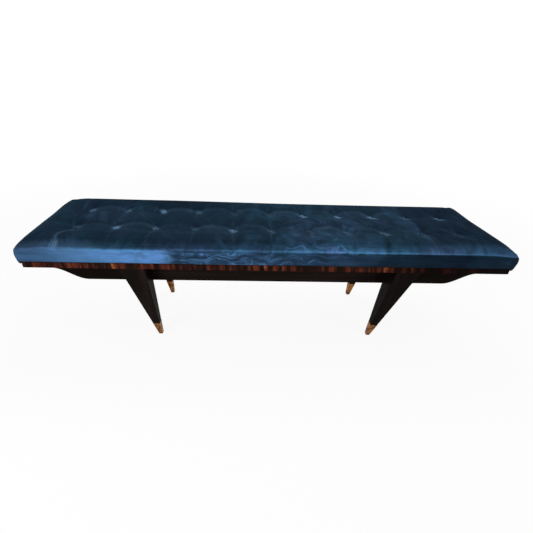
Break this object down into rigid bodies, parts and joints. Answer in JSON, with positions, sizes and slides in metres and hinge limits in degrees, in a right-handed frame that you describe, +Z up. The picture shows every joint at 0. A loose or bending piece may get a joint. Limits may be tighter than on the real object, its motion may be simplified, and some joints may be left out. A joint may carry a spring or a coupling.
{
  "type": "upholstered bench",
  "caption": "Long backless bench with a button-tufted velvet cushion, crossbanded seat frame, ogee-ended aprons and tapered legs in brass shoes.",
  "frame": {"origin": "on the floor under the centre of the seat", "axes": "+X runs along the bench to its right end as seen from the front, +Y from the front to the back, +Z up"},
  "size_m": [1.83, 0.492, 0.4671],
  "materials": {
    "velvet": "short-pile velvet, deep blue with a paler brushed nap",
    "foam": "open-cell upholstery foam",
    "plywood": "raw birch plywood",
    "twine": "waxed tufting twine",
    "steel": "zinc plated",
    "hardwood": "dark stained hardwood, matt",
    "crossband": "striped dark veneer laid with upright grain, satin lacquer",
    "dark_veneer": "near-black brown veneer with lengthwise grain, satin lacquer",
    "dark_lacquer": "near-black brown lacquered wood, satin",
    "brass": "satin brass",
    "beech": "raw beech",
    "glide": "black nylon"
  },
  "bodies": {
    "root": {"cushion_cover": "velvet", "foam_topper": "foam", "foam_base": "foam", "seat_board": "plywood", "tuft_buttons": "velvet", "tuft_twines": "twine", "twine_anchors": "steel", "frame_front_rail": "hardwood", "frame_back_rail": "hardwood", "frame_left_rail": "hardwood", "frame_right_rail": "hardwood", "frame_slat_1": "hardwood", "frame_slat_2": "hardwood", "frame_slat_3": "hardwood", "frame_slat_4": "hardwood", "band_front": "crossband", "band_back": "crossband", "band_left": "crossband", "band_right": "crossband", "apron_front": "dark_veneer", "apron_back": "dark_veneer", "apron_left": "dark_veneer", "apron_right": "dark_veneer", "cross_rail_left": "hardwood", "cross_rail_middle": "hardwood", "cross_rail_right": "hardwood", "glue_blocks": "hardwood", "leg_front_left": "dark_lacquer", "leg_front_right": "dark_lacquer", "leg_back_left": "dark_lacquer", "leg_back_right": "dark_lacquer", "shoe_front_left": "brass", "shoe_front_right": "brass", "shoe_back_left": "brass", "shoe_back_right": "brass", "glide_front_left": "glide", "glide_front_right": "glide", "glide_back_left": "glide", "glide_back_right": "glide", "leg_bolts": "steel", "bolt_washers": "steel", "threaded_inserts": "brass", "leg_dowels": "beech", "apron_pegs": "beech", "seat_screws": "steel", "apron_screws": "steel"}
  },
  "joints": []
}
